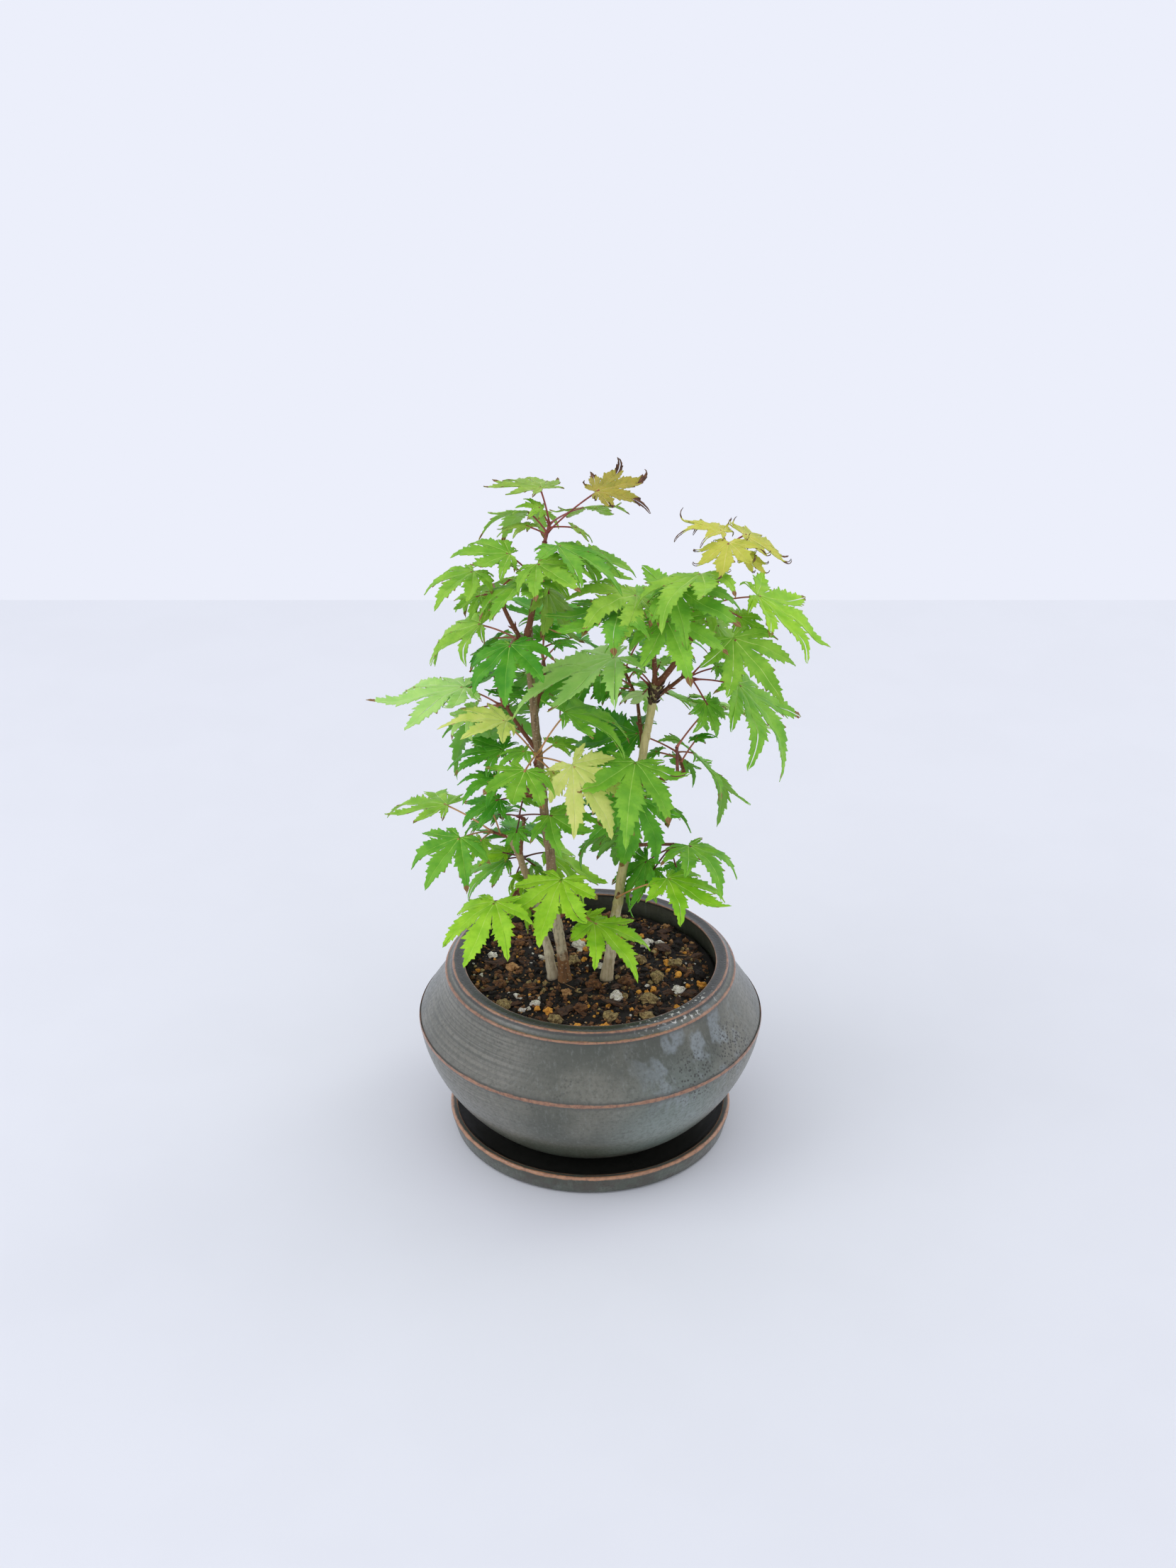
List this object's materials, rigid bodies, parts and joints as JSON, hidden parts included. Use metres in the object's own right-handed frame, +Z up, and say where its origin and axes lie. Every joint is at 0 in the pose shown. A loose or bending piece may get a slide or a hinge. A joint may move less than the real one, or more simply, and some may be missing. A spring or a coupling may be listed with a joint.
{
  "type": "potted japanese maple bonsai",
  "caption": "Small bonsai planting of japanese maple: slim stems with palmate leaves on opposite stalks, in a round stoneware pot with a belly ridge, standing in its saucer.",
  "frame": {"origin": "centre of the saucer's flat underside", "axes": "+Z up along the pot's axis, -Y towards the front of the planting"},
  "size_m": [0.1657, 0.13, 0.2564],
  "materials": {
    "pot_glaze": "dark grey-green satin glaze, coppery where it is worn thin on the ridges",
    "saucer_glaze": "the pot's glaze, near black and glossy inside the saucer",
    "soil": "loose dark crumbs with ochre and pale grains",
    "stem_bark": "grey-tan bark with fine rings, browner on the tall stem",
    "shoot_bark": "smooth red-brown young bark",
    "foliage": "thin green leaves, yellow and bronze at the tops, some with dry brown tips"
  },
  "bodies": {
    "root": {"saucer": "saucer_glaze", "pot": "pot_glaze", "soil": "soil", "stem_tall": "stem_bark", "stem_right": "stem_bark", "stem_low": "stem_bark", "bough_leader_left": "shoot_bark", "bough_side_left": "shoot_bark", "bough_mid_left": "shoot_bark", "bough_front_left": "shoot_bark", "bough_back_left": "shoot_bark", "bough_leader_right": "shoot_bark", "bough_inner_right": "shoot_bark", "bough_outer_right": "shoot_bark", "bough_mid_right": "shoot_bark", "bough_low_right": "shoot_bark", "bough_back_right": "shoot_bark", "bough_shoot_low": "shoot_bark", "bough_low_left": "shoot_bark", "foliage_knot_right": "foliage", "foliage_mid_left": "foliage", "foliage_front_left": "foliage", "foliage_top_left": "foliage", "foliage_top_right": "foliage", "foliage_leader_right": "foliage", "foliage_inner_right": "foliage", "foliage_outer_right": "foliage", "foliage_leader_left": "foliage", "foliage_upper_mid": "foliage", "foliage_upper_left": "foliage", "foliage_knot_left": "foliage", "foliage_centre_right": "foliage", "foliage_mid_right": "foliage", "foliage_stem_right": "foliage", "foliage_stem_low": "foliage", "foliage_low_left": "foliage", "foliage_low_front": "foliage", "foliage_stub": "foliage", "foliage_shoot_low": "foliage", "foliage_shade_left": "foliage", "foliage_long_stalk": "foliage", "foliage_low_right": "foliage", "foliage_riser_right": "foliage", "foliage_back_left": "foliage", "foliage_back_right": "foliage", "foliage_back_low": "foliage"}
  },
  "joints": []
}
